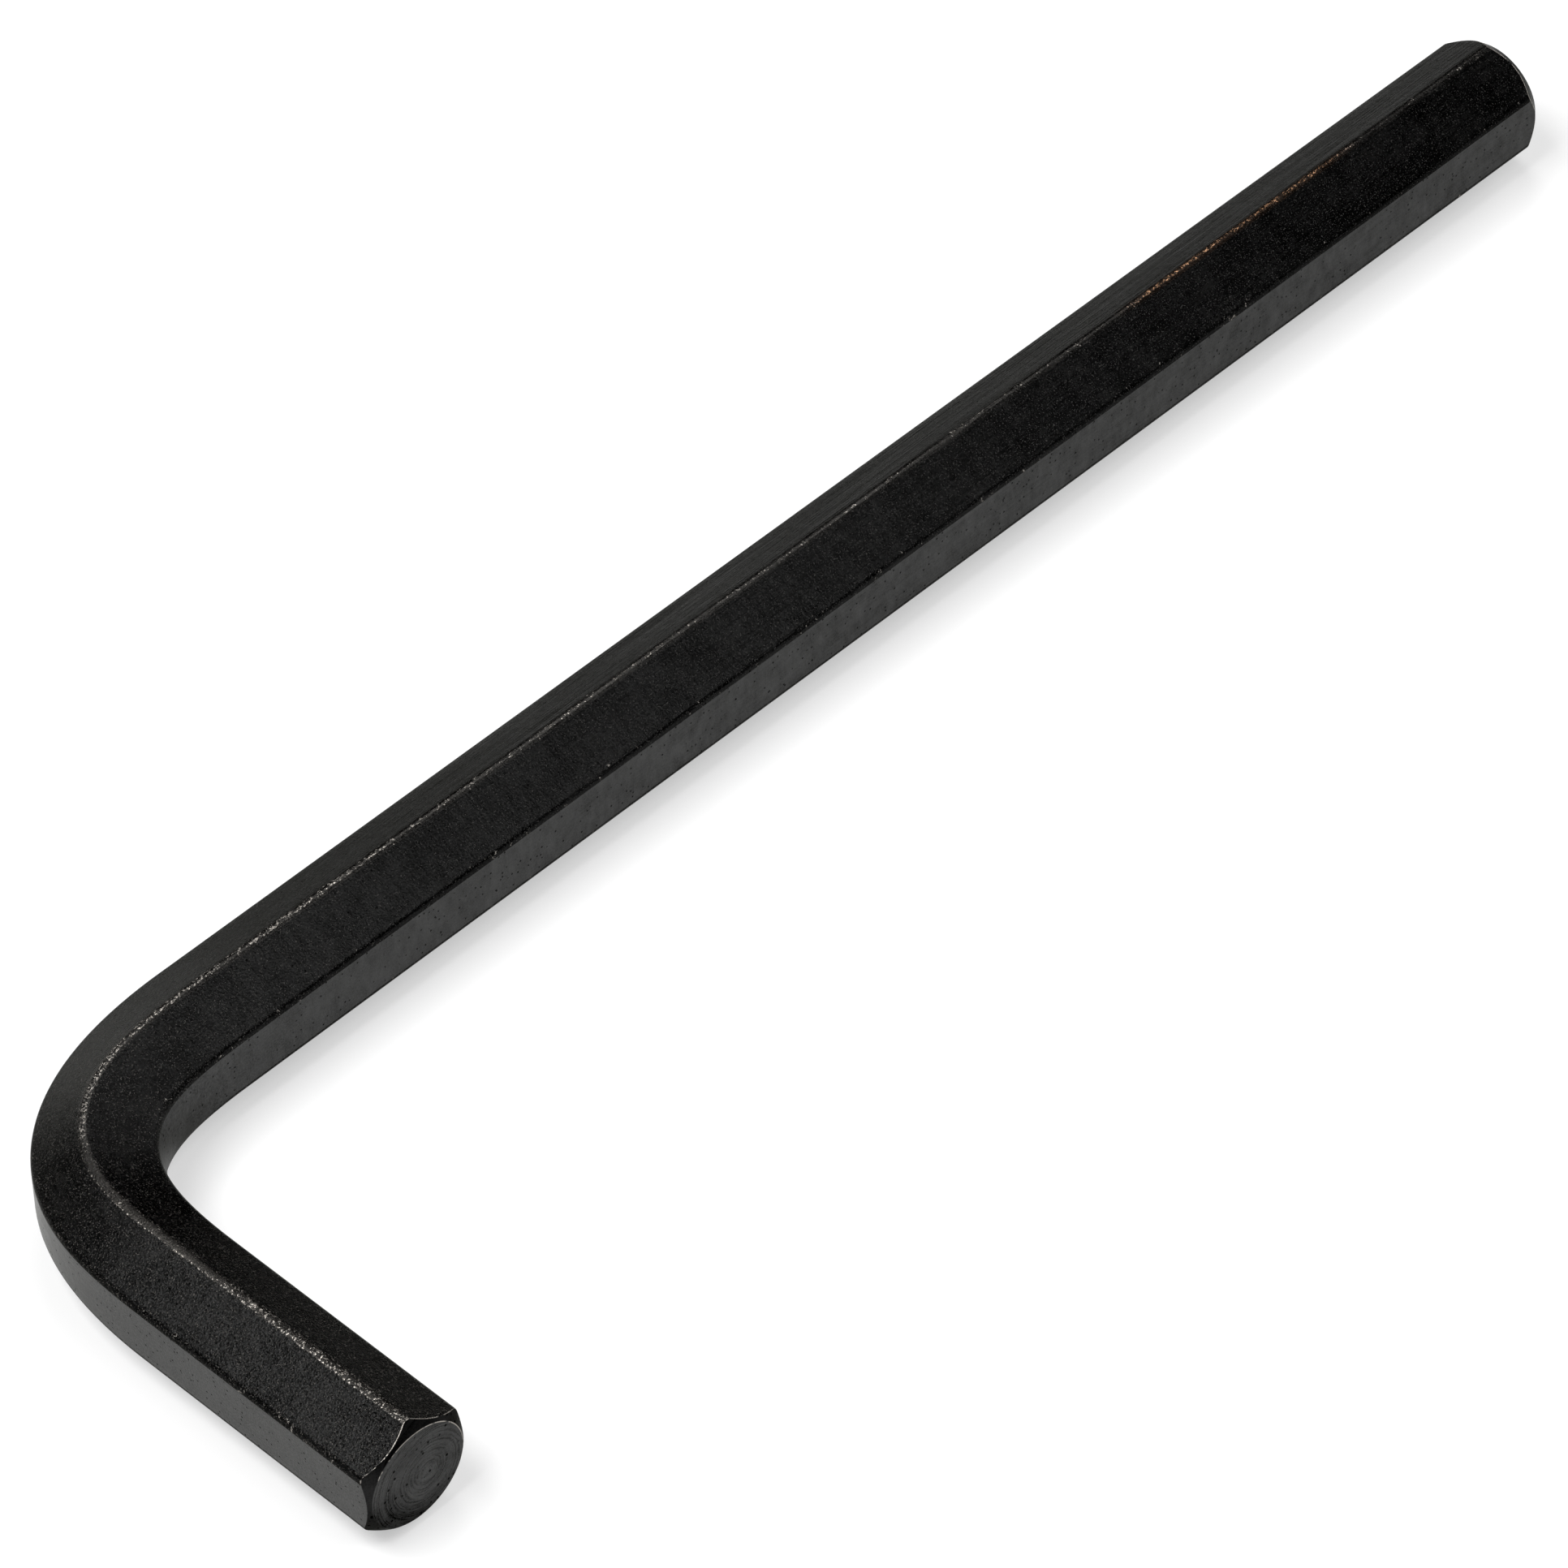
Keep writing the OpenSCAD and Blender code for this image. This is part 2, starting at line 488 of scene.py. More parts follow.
def bend_path_group():
    """Centre line of the bend as a line of points, which starts at zero along +Y."""
    tree, given = new_group(
        "Bend path", ["Bend Radius", "Bend Easing"],
        {"Path": "NodeSocketGeometry", "Set Back": "NodeSocketFloat", "Length": "NodeSocketFloat"})
    easing = given["Bend Easing"]
    length = given["Bend Radius"] * BEND_ANGLE * (1 + easing)
    step = length / BEND_RINGS
    middle = heading_at((index_of(tree) + 0.5) / BEND_RINGS, easing)
    walk = add_node(
        tree, "GeometryNodeAccumulateField", {"data_type": "FLOAT_VECTOR", "domain": "POINT"},
        {"Value": joined(step * middle.sin(), step * middle.cos())})
    line = add_node(tree, "GeometryNodeMeshLine", inputs={"Count": BEND_RINGS + 1})
    path = add_node(
        tree, "GeometryNodeSetPosition",
        inputs={"Geometry": Quantity(tree, line.outputs["Mesh"]),
                "Position": Quantity(tree, walk.outputs["Trailing"])})
    path = Quantity(tree, path.outputs["Geometry"])
    result = {"Path": path, "Set Back": parts_of(sample_position(tree, path, BEND_RINGS))[0],
              "Length": length}
    add_node(tree, "NodeGroupOutput", inputs=result)
    return tree


def sample_position(tree, geometry, index):
    """Position of the point of geometry that has the given index."""
    position = tree.nodes.new("GeometryNodeInputPosition").outputs["Position"]
    node = add_node(
        tree, "GeometryNodeSampleIndex",
        {"data_type": "FLOAT_VECTOR", "domain": "POINT", "clamp": True},
        {"Geometry": geometry, "Value": Quantity(tree, position), "Index": index})
    return Quantity(tree, node.outputs["Value"])


def stored(tree, geometry, name, value, kind="FLOAT", domain="POINT"):
    """Geometry with a value stored on it under a name."""
    node = add_node(
        tree, "GeometryNodeStoreNamedAttribute", {"data_type": kind, "domain": domain},
        {"Geometry": geometry, "Name": name, "Value": value})
    return Quantity(tree, node.outputs["Geometry"])


def stored_value(tree, name):
    node = add_node(tree, "GeometryNodeInputNamedAttribute", {"data_type": "FLOAT"}, {"Name": name})
    return Quantity(tree, node.outputs["Attribute"])


def with_material(tree, geometry, material, chosen=True):
    """Geometry with the material on the chosen faces."""
    node = add_node(tree, "GeometryNodeSetMaterial", inputs={
        "Geometry": geometry, "Selection": chosen, "Material": material})
    return Quantity(tree, node.outputs["Geometry"])


BAR_INPUTS = {
    "Across Flats": "across_flats",
    "Edge Radius": "edge_radius",
    "Long Arm": "long_arm",
    "Short Arm": "short_arm",
    "Bend Radius": "bend_radius",
    "Bend Easing": "bend_easing",
    "Ridge Shift": "ridge_shift",
    "Outside Narrowing": "outside_narrowing",
    "Inside Widening": "inside_widening",
    "Inside Swell": "inside_swell",
    "Inside Roll": "inside_roll",
    "Long Rim Inset": "long_rim_inset",
    "Long Chamfer Angle": "long_chamfer_angle",
    "Short Rim Inset": "short_rim_inset",
    "Short Chamfer Angle": "short_chamfer_angle",
    "Arris Rounding": "arris_rounding",
}


def formed_point(given, x, y, amount):
    """A point of the section as bending leaves it, where amount goes from 0 to 1."""
    flat_r = given["Across Flats"] / 2
    half_flat = flat_r * math.tan(SIXTH_TURN / 2)
    side = x / flat_r
    inner = larger(side, 0)
    to_edge = smaller(y * y / (half_flat * half_flat), 1)
    swell = given["Inside Swell"] * (1 - to_edge) - given["Inside Roll"] * to_edge
    shift = inner * inner * swell - given["Ridge Shift"] * (1 - side * side)
    widening = given["Inside Widening"] * (1 + side) / 2
    narrowing = given["Outside Narrowing"] * (1 - side) / 2
    stretch = (widening - narrowing) / (half_flat * 2)
    return x + amount * shift, y * (1 + amount * stretch)


def bent_bar_tree(sloping, inside, outside, turned):
    """Geometry nodes that make the whole key as one closed mesh of rings and columns."""
    tree, given = new_group("Bent hexagon bar", BAR_INPUTS, {"Geometry": "NodeSocketGeometry"})
    flat_r = given["Across Flats"] / 2
    edge_radius = given["Edge Radius"]
    crown_r = (flat_r - edge_radius) / math.cos(SIXTH_TURN / 2) + edge_radius

    index = index_of(tree)
    ring = ((index + 0.5) / (COLUMNS + 1)).floor()
    column = index - ring * (COLUMNS + 1)
    on_seam = progress(column, COLUMNS - 1, 1)
    section = use_group(tree, hexagon_section_group(), {
        "Column": column - COLUMNS * on_seam,
        "Across Flats": given["Across Flats"],
        "Edge Radius": edge_radius})
    bar_r = (section["X"] * section["X"] + section["Y"] * section["Y"]).root()

    end_length = given["Across Flats"] * END_LENGTH_SHARE
    turned_end = turned_end_group()
    short_end = use_group(tree, turned_end, {
        "Ring": ring, "Bar Radius": bar_r, "Face Radius": flat_r - given["Short Rim Inset"],
        "Chamfer Angle": given["Short Chamfer Angle"],
        "Rounding": given["Arris Rounding"], "Length": end_length})
    long_end = use_group(tree, turned_end, {
        "Ring": LAST_RING - ring, "Bar Radius": bar_r,
        "Face Radius": flat_r - given["Long Rim Inset"],
        "Chamfer Angle": given["Long Chamfer Angle"],
        "Rounding": given["Arris Rounding"], "Length": end_length})

    bend = use_group(tree, bend_path_group(), {
        "Bend Radius": given["Bend Radius"], "Bend Easing": given["Bend Easing"]})
    short_straight = given["Short Arm"] - flat_r - bend["Set Back"]
    long_straight = given["Long Arm"] - flat_r - bend["Set Back"]
    up_short_arm = progress(ring, END_RINGS, SHORT_ARM_RINGS)
    through_bend = progress(ring, BEND_START, BEND_RINGS)
    along_long_arm = progress(ring, LONG_ARM_START, LONG_ARM_RINGS)
    short_arm_left = (short_straight - end_length) * (1 - up_short_arm)
    before_bend = short_arm_left + end_length - short_end["Depth"]
    after_bend = (long_straight - end_length) * along_long_arm + end_length - long_end["Depth"]
    run = after_bend - before_bend

    # Away from its own end, each turned end has the bar's own radius.
    scale = short_end["Radius"] * long_end["Radius"] / (bar_r * bar_r)
    half_wave = (through_bend * math.pi).sin()
    across, up = formed_point(
        given, section["X"] * scale, section["Y"] * scale, half_wave * half_wave)
    heading = heading_at(through_bend, given["Bend Easing"])
    place = parts_of(sample_position(tree, bend["Path"], through_bend * BEND_RINGS + 0.5))
    centre_x = flat_r - given["Long Arm"] / 2
    centre_y = given["Short Arm"] / 2 - flat_r
    x = centre_x + place[0] + heading.cos() * across + heading.sin() * run
    y = centre_y - bend["Set Back"] + place[1] - heading.sin() * across + heading.cos() * run
    z = crown_r + up

    grid = add_node(tree, "GeometryNodeMeshGrid", inputs={
        "Vertices X": LAST_RING + 1, "Vertices Y": COLUMNS + 1})
    along = short_straight + bend["Length"] * through_bend + run
    on_bar = joined(section["Around"] / MM, along / MM)
    capture = add_node(tree, "GeometryNodeCaptureAttribute", {"domain": "POINT"})
    capture.capture_items.new("VECTOR", "On bar")
    feed(tree, capture.inputs["Geometry"], Quantity(tree, grid.outputs["Mesh"]))
    feed(tree, capture.inputs["On bar"], on_bar)
    on_bar = Quantity(tree, capture.outputs["On bar"])
    bar = Quantity(tree, capture.outputs["Geometry"])
    turned_share = larger(short_end["Turned"], long_end["Turned"])
    bar = stored(tree, bar, "turned", turned_share)
    bar = stored(tree, bar, "arris", short_end["Arris"] + long_end["Arris"])
    bar = stored(tree, bar, "from_edge", section["From Edge"] / MM)
    bar = stored(tree, bar, "from_top", section["From Top"] / MM)
    bar = stored(tree, bar, "rise", section["Rise"])
    bar = stored(tree, bar, "chamfer", larger(short_end["Chamfer"], long_end["Chamfer"]))
    bar = stored(tree, bar, "on_face", joined(across / MM, up / MM), "FLOAT_VECTOR")
    bar = stored(tree, bar, "on_bar", on_bar, "FLOAT_VECTOR", "CORNER")

    placed = add_node(tree, "GeometryNodeSetPosition", inputs={
        "Geometry": bar, "Position": joined(x, y, z)})
    welded = add_node(tree, "GeometryNodeMergeByDistance", inputs={
        "Geometry": Quantity(tree, placed.outputs["Geometry"]), "Distance": WELD_DISTANCE})
    smooth = add_node(tree, "GeometryNodeSetShadeSmooth", inputs={
        "Geometry": Quantity(tree, welded.outputs["Geometry"]), "Shade Smooth": True})
    whole = add_node(tree, "GeometryNodeRealizeInstances", inputs={
        "Geometry": Quantity(tree, smooth.outputs["Geometry"])})
    whole = Quantity(tree, whole.outputs["Geometry"])

    is_upright = work_out(tree, "LESS_THAN", stored_value(tree, "rise"), UPRIGHT_RISE)
    is_outside = work_out(tree, "GREATER_THAN", stored_value(tree, "from_top"), 0.0)
    is_turned = work_out(tree, "GREATER_THAN", stored_value(tree, "turned"), 0.5)
    blackened = with_material(tree, whole, sloping)
    # The upright flats take two copies of one oxide, whose rim tints differ as painted shade inside
    # and painted reflection outside.
    blackened = with_material(tree, blackened, inside, is_upright)
    blackened = with_material(tree, blackened, outside, is_upright * is_outside)
    finished = with_material(tree, blackened, turned, is_turned)
    add_node(tree, "NodeGroupOutput", inputs={"Geometry": finished})
    return tree


def new_material(name):
    """A material with an empty node tree."""
    material = bpy.data.materials.new(name)
    material.use_nodes = True
    tree = material.node_tree
    tree.nodes.clear()
    return material, tree


def finish_material(tree, shader):
    output = tree.nodes.new("ShaderNodeOutputMaterial")
    tree.links.new(shader.outputs[0], output.inputs["Surface"])


def read_attribute(tree, name, output="Fac"):
    """A value that the geometry carries under a name."""
    node = add_node(tree, "ShaderNodeAttribute", {"attribute_name": name})
    return Quantity(tree, node.outputs[output])


def place_in_mm(tree):
    """Place on the key in millimetres."""
    node = tree.nodes.new("ShaderNodeTexCoord")
    scaled = add_node(tree, "ShaderNodeVectorMath", {"operation": "SCALE"},
                      {"Vector": Quantity(tree, node.outputs["Object"]), "Scale": 1 / MM})
    return Quantity(tree, scaled.outputs["Vector"])


def noise(vector, scale, detail=2.0, roughness=0.5):
    """Cloudy noise from 0 to 1, with its middle near a half."""
    node = add_node(vector.tree, "ShaderNodeTexNoise", inputs={
        "Vector": vector, "Scale": scale, "Detail": detail, "Roughness": roughness})
    return Quantity(vector.tree, node.outputs["Fac"])


def cells(vector, scale):
    """Distance to the middle of the nearest of many scattered cells, and its random number."""
    node = add_node(vector.tree, "ShaderNodeTexVoronoi", inputs={"Vector": vector, "Scale": scale})
    colour = parts_of(Quantity(vector.tree, node.outputs["Color"]))
    return Quantity(vector.tree, node.outputs["Distance"]), colour[0]


def ramp(value, low, high):
    """Rises smoothly from 0 to 1 as value goes from low to high."""
    node = add_node(value.tree, "ShaderNodeMapRange", {"interpolation_type": "SMOOTHSTEP"}, {
        "Value": value, "From Min": low, "From Max": high})
    return Quantity(value.tree, node.outputs["Result"])


def blend_colours(share, first, second):
    """The first colour where share is 0 and the second where it is 1."""
    node = add_node(share.tree, "ShaderNodeMix", {"data_type": "RGBA"})
    feed(share.tree, node.inputs["Factor"], share)
    colour_inputs = [socket for socket in node.inputs if socket.type == "RGBA"]
    feed(share.tree, colour_inputs[0], first)
    feed(share.tree, colour_inputs[1], second)
    colour_outputs = [socket for socket in node.outputs if socket.type == "RGBA"]
    return Quantity(share.tree, colour_outputs[0])


def raised(height, distance):
    """A surface normal for a height that goes from 0 to 1 over the given distance."""
    node = add_node(height.tree, "ShaderNodeBump", inputs={
        "Height": height, "Distance": distance, "Strength": 1.0})
    return Quantity(height.tree, node.outputs["Normal"])


def dark_metal(tree, colour, roughness, rim_tint, normal):
    """A metal whose colour is the strength of its reflection, tinted at flat angles."""
    return add_node(tree, "ShaderNodeBsdfPrincipled", inputs={
        "Base Color": colour, "Metallic": 1.0, "Roughness": roughness,
        "Specular Tint": (rim_tint, rim_tint, RIM_TINT_BLUE * rim_tint, 1), "Normal": normal})


def scaled_colour(colour, factor):
    return (*(channel * factor for channel in colour), 1)


def shaded_oxide(oxide, shade):
    """The oxide's colour made lighter or darker, where a shade of 1 leaves it as it is."""
    lightest = scaled_colour(oxide, OXIDE_RANGE)
    return blend_colours((shade / OXIDE_RANGE).clamped(), (0, 0, 0, 1), lightest)


def window(along, start, end, fade):
    """1 between two places along the bar, and 0 further away than the fade."""
    return progress(along, start - fade, fade) * (1 - progress(along, end, fade))


def ripple(vector, scale, detail, roughness):
    """Cloudy noise from -0.5 to 0.5, with its middle near 0."""
    return noise(vector, scale, detail, roughness) - 0.5


def fine_grain(place):
    return ripple(place, GRAIN_SCALE, 3.0, 0.6)


def nicks_at(place):
    """Noise that says where edges are nicked down to the steel, from 0 to 1."""
    return noise(place, NICK_SCALE, 3.0, 0.7)


def round_pits(place, scale, core):
    """Pits, 1 in their middle and 0 outside them, and a random number for each."""
    distance, chance = cells(place, scale)
    return 1 - ramp(distance, core, core + PIT_SLOPE), chance


def worn_arris(arris, nicks, from_top):
    """Share of bare steel where faces and chamfers meet, less toward the outside flat."""
    spared = 0.06 * larger(from_top - 2.5, 0)
    return arris * ramp(nicks - spared, 0.36, 0.5)


def rusty_at(along):
    return window(along, RUST_START, RUST_END, SHORT_FADE)


def worn_top_edge(place, along, from_top):
    """Share of bare steel along the top edge."""
    chips = ripple(place, CHIP_SCALE, 4.0, 0.7)
    speckle = noise(place, SPECKLE_SCALE, 2.0, 0.6)
    drift = ripple(joined(along * 0.06, 3.1), 1.0, 2.0, 0.5) * 0.5
    on_short_arm = 1 - progress(along, *SHORT_WEAR_ENDS)
    fading = 1 - progress(along, *WEAR_FADES)
    near_bend = window(along, BORDER_START, BORDER_END, SHORT_FADE)
    past_bend = window(along, LIGHT_START, BRIGHT_EDGE_END, LONG_FADE)
    rusty = rusty_at(along)

    # The worn line is widest on the short arm, and past it drifts from side to side.
    half_width = 0.05 + 0.07 * fading + 0.27 * on_short_arm + 0.05 * rusty + 0.05 * past_bend
    distance = abs(from_top - drift * (1 - on_short_arm)) + chips * 0.5
    band = 1 - ramp(distance, half_width, half_width + 0.12)

    # Steel shows where the speckle passes a threshold, which is low where wear is heavy.
    heavier = 0.1 * fading + 0.12 * rusty + 0.02 * past_bend
    threshold = 0.62 - heavier + 0.01 * on_short_arm + 0.2 * near_bend
    flecks = band * ramp(speckle, threshold, threshold + 0.12)

    # In the first half of the bend both borders of the rounding are worn instead.
    to_border = abs(abs(from_top) - EDGE_HALF_WIDTH)
    border = 1 - ramp(to_border + chips * 0.25, 0.03, 0.09)
    border = border * near_bend * ramp(speckle, 0.53, 0.62)
    polish = (0.04 + 0.03 * near_bend) * (1 - ramp(abs(from_top), 0.35, 0.5))
    return larger(larger(flecks, border), polish)


def oxide_level(along, outside, lined, smoothness):
    """How light the oxide is along the bar, where 1 is its plain colour: painted shade and painted
    light on the sloping flats, and on the upright flats a darker tone with a painted reflection
    that leaves the outside one lighter.
    """
    # Painted shade on the sloping flats: toward the far end, on the inside of the short arm, and up
    # to the long arm.
    far_end_painted_shade = progress(along, *FAR_END_PAINTED_SHADE) * (1 - 0.5 * outside)
    short_inside_painted_shade = (1 - progress(along, *SHORT_INSIDE_PAINTED_SHADE_FADES)) * (1 - outside)
    painted_shade_before_long_arm = 1 - progress(along, *PAINTED_SHADE_ENDS_ON_LONG_ARM)
    darker = 0.5 * far_end_painted_shade + 0.5 * short_inside_painted_shade + 0.25 * painted_shade_before_long_arm
    # Painted light on the sloping flats: on the lined outside flats of the long arm, and a painted
    # highlight just past the bend.
    painted_light_end = PAINTED_LIGHT_INSIDE_END + (PAINTED_LIGHT_OUTSIDE_END - PAINTED_LIGHT_INSIDE_END) * outside
    lighter = 0.6 * lined + 0.75 * window(along, LIGHT_START, painted_light_end, LONG_FADE)
    # The upright flats are a darker tone, and the outside one is painted lighter than the inside
    # one as a painted reflection.
    upright_tone_and_painted_reflection = (0.06 * outside - 0.18) * smoothness
    return 1 + upright_tone_and_painted_reflection + (lighter - darker) * (1 - smoothness)


def oxide_on_bar(name, colours, oxide, rim_tint, smoothness, streak_depth, pit_share):
    """Black oxide over drawn bar: grain, painted glints, draw marks, pits, worn edges, and painted
    light and shade along the bar.

    Smoothness is 0 for the leathery grain of the sloping flats and 1 for the finer and
    cloudier finish of the upright ones."""
    material, tree = new_material(name)
    place = place_in_mm(tree)
    around, along = parts_of(read_attribute(tree, "on_bar", "Vector"))[:2]
    from_edge = read_attribute(tree, "from_edge")
    from_top = read_attribute(tree, "from_top")
    arris = read_attribute(tree, "arris")

    # Coarseness is 2 on the short arm and 1 on the long one, which has draw marks as well.
    # Outside is 1 on the half of the bar toward the outside of the bend, whose sloping flats
    # are also lined on the long arm.
    leathery = 1 - smoothness
    coarseness = 2 - progress(along, *COARSE_GRAIN_ENDS)
    drawn = progress(along, *DRAW_MARKS_BEGIN)
    outside = ramp(from_top, 0.0, 0.7)
    lined = drawn * outside * leathery

    grain = fine_grain(place)
    mottle = ripple(place, MOTTLE_SCALE, 4.0, 0.6)
    cloud = ripple(joined(around * 0.55, along * 1.1), 1.0, 4.0, 0.65)
    streaks = ripple(joined(around * 4.0, along * 0.12), 1.0, 3.0, 0.6)
    lines = ripple(joined(around * 1.4, along * 0.05), 1.0, 3.0, 0.65)
    glints = ramp(noise(place, GLINT_SCALE), 0.61, 0.69) * coarseness * leathery
    pits, pit_chance = round_pits(place, 1.8, 0.08)
    pits = pits * ramp(pit_chance, 1 - pit_share, 1.02 - pit_share)

    # Steel shows on the top edge and in a few places on the other edges, and in the glints, whose
    # steel specks are painted glints.
    nicks = nicks_at(place)
    near_edge = 1 - ramp(from_edge, 0.3, 0.5)
    nicked_edge = near_edge * ramp(nicks, 0.64, 0.7) * ramp(grain, -0.05, 0.1)
    worn = larger(worn_top_edge(place, along, from_top), nicked_edge)
    worn = larger(worn, worn_arris(arris, nicks, from_top))
    worn = larger(worn, 0.06 * glints * (2 * coarseness - 1)).clamped()

    grain_share = (2.4 * coarseness - 0.8) * (1 - 0.5 * smoothness) * (1 + lined)
    cloud_share = 0.6 + 0.2 * drawn * smoothness
    shade = oxide_level(along, outside, lined, smoothness)
    shade = shade + (1.1 - 0.5 * smoothness) * mottle + cloud_share * cloud + 0.5 * drawn * streaks
    shade = shade + grain_share * grain + lined * (8 * lines + 3 * cloud)
    # The glints also lighten the oxide in specks: painted glints.
    shade = (shade + 2 * glints) * (1 - PIT_DARKNESS * pits)
    rust_share = rusty_at(along) * (1 - ramp(abs(from_top), 0.4, 0.6))
    bare = blend_colours(rust_share, (*colours.steel, 1), (*colours.rust, 1))
    colour = blend_colours(worn, shaded_oxide(oxide, shade), bare)

    roughness = MEAN_ROUGHNESS - 0.07 * leathery + 0.2 * grain + 0.2 * mottle + 0.25 * streaks
    roughness = roughness + 0.15 * cloud + 0.25 * pits + 0.3 * glints
    grain_height = (0.033 * coarseness - 0.008) * (1 - 0.8 * smoothness)
    height = grain_height * grain + streak_depth * drawn * streaks + 0.03 * cloud
    height = height + 0.012 * glints - PIT_DEPTH * pits + 0.02 * nicks * worn
    finish_material(tree, dark_metal(tree, colour, roughness, rim_tint, raised(height, MM)))
    return material


def turned_material(colours):
    """Black oxide over a turned face and chamfer, with the marks of the turning tool."""
    material, tree = new_material("turned_end")
    place = place_in_mm(tree)
    on_face = parts_of(read_attribute(tree, "on_face", "Vector"))
    across = on_face[0] - TURNING_CENTRE[0]
    up = on_face[1] - TURNING_CENTRE[1]
    radius = (across * across + up * up).root() + SMALLEST_RADIUS
    from_top = read_attribute(tree, "from_top")
    arris = read_attribute(tree, "arris")
    chamfer = read_attribute(tree, "chamfer")
    face = 1 - chamfer

    # The turning marks are rings that wander a little on their way round.
    east = across / radius
    north = up / radius
    wander = noise(joined(east, north, radius * 0.4), 1.2)
    rings = joined(radius * TURNING_SCALE + wander * 1.8, 0.7 * east, 0.7 * north)
    marks = ripple(rings, 1.0, 3.0, 0.75)
    lines = ramp(marks, -0.12, 0.08) - 0.5

    # The face is lighter in its middle and darker toward the lower rim.
    middle = 1 - ramp(radius, 0.2, 1.9)
    dark_rim = ramp(radius, 1.8, 4.8) * ramp(across * -0.3 - up, -0.5, 4.0)
    grain = fine_grain(place)
    cloud = ripple(place, 0.7, 3.0, 0.6)
    pits, pit_chance = round_pits(place, 1.7, 0.14)
    pits = pits * ramp(pit_chance + 0.2 * dark_rim, 0.6, 0.7)
    worn = worn_arris(arris, nicks_at(place), from_top).clamped()

    shade = 0.76 + face * (0.42 * lines + 0.2 * middle - 0.52 * dark_rim)
    shade = shade + 0.7 * cloud + 1.2 * grain
    shade = shade * (1 - PIT_DARKNESS * pits) * (1 - 0.7 * chamfer)
    colour = blend_colours(worn, shaded_oxide(colours.upright, shade), (*colours.steel, 1))
    roughness = MEAN_ROUGHNESS + 0.2 * grain + 0.15 * lines + 0.2 * pits
    height = 0.03 * face * marks + 0.012 * grain - PIT_DEPTH * pits
    shader = dark_metal(tree, colour, roughness, TURNED_RIM_TINT, raised(height, MM))
    finish_material(tree, shader)
    return material


class HEXKEY_OT_make_key(bpy.types.Operator):
    """Make the bent bar with its black oxide and turned ends"""

    bl_idname = "hexkey.make_key"
    bl_label = "Make Key"

    def execute(self, context):
        sizes = context.scene.key_sizes
        colours = context.scene.key_colours
        # Three copies of one oxide: the sloping copy's darker colour is painted shade, and the
        # upright copies differ in rim tint, painted shade on the inside flat and painted reflection
        # on the outside one.
        sloping = oxide_on_bar("sloping_oxide_painted_shade", colours, colours.sloping, SLOPING_RIM_TINT,
                               smoothness=0, streak_depth=0.05, pit_share=0.15)
        inside = oxide_on_bar("inside_oxide_painted_shade", colours, colours.upright, INSIDE_PAINTED_SHADE_RIM_TINT,
                              smoothness=1, streak_depth=0.01, pit_share=0.6)
        outside = oxide_on_bar("outside_oxide_painted_reflection", colours, colours.upright, OUTSIDE_PAINTED_REFLECTION_RIM_TINT,
                               smoothness=1, streak_depth=0.01, pit_share=0.6)
        tree = bent_bar_tree(sloping, inside, outside, turned_material(colours))

        start = bpy.data.objects.new("key_nodes", bpy.data.meshes.new("key_nodes"))
        context.scene.collection.objects.link(start)
        modifier = start.modifiers.new("Bent bar", "NODES")
        modifier.node_group = tree
        for item in tree.interface.items_tree:
            if item.in_out == "INPUT":
                modifier[item.identifier] = getattr(sizes, BAR_INPUTS[item.name])
        depsgraph = context.evaluated_depsgraph_get()
        mesh = bpy.data.meshes.new_from_object(start.evaluated_get(depsgraph))
        mesh.name = "bent_bar"
        if len(mesh.polygons) < LAST_RING * COLUMNS:
            raise RuntimeError("the key's mesh came out incomplete")
        start.modifiers.remove(modifier)
        bpy.data.objects.remove(start)

        key = bpy.data.objects.new("bent_bar", mesh)
        context.scene.collection.objects.link(key)
        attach(key, "root")
        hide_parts("hex_key")
        return {"FINISHED"}


# Length of the studio floor's sides, in metres
FLOOR_SIZE = 3.0

# Share of plain white in the floor, as the camera and shiny surfaces see it
FLOOR_GLOW = 0.5

# Strength of the even light from all round
ROOM_LIGHT = 0.02

# Width of the camera's sensor in millimetres
SENSOR_WIDTH = 36

# Each lamp's name, azimuth and elevation in degrees, distance, width and height in metres,
# and radiance
LAMPS = (
    ("back_softbox", 160, 62, 0.9, 0.6, 0.45, 10.5),
    ("top_softbox", 48, 55, 0.9, 0.3, 0.3, 6.0),
    ("front_softbox", 285, 60, 0.75, 0.42, 0.42, 4.1),
    ("low_panel", 83, 6, 0.9, 0.25, 0.13, 11.0),
    ("end_panel", 355, 27, 0.9, 0.35, 0.25, 3.5),
)


def floor_material(colours):
    """A pale floor that the camera and shiny surfaces see as white, with its shadow kept."""
    material, tree = new_material("studio_floor")
    paint = add_node(tree, "ShaderNodeBsdfDiffuse", inputs={"Color": (*colours.floor, 1)})
    white = add_node(tree, "ShaderNodeEmission", inputs={"Strength": 1.0})
    path = tree.nodes.new("ShaderNodeLightPath")
    seen = [Quantity(tree, path.outputs[name]) for name in
            ("Is Camera Ray", "Is Glossy Ray", "Is Transmission Ray")]
    share = (seen[0] + seen[1] + seen[2]).clamped() * FLOOR_GLOW
    mix = add_node(tree, "ShaderNodeMixShader", inputs={"Fac": share})
    tree.links.new(paint.outputs["BSDF"], mix.inputs[1])
    tree.links.new(white.outputs["Emission"], mix.inputs[2])
    finish_material(tree, mix)
    return material


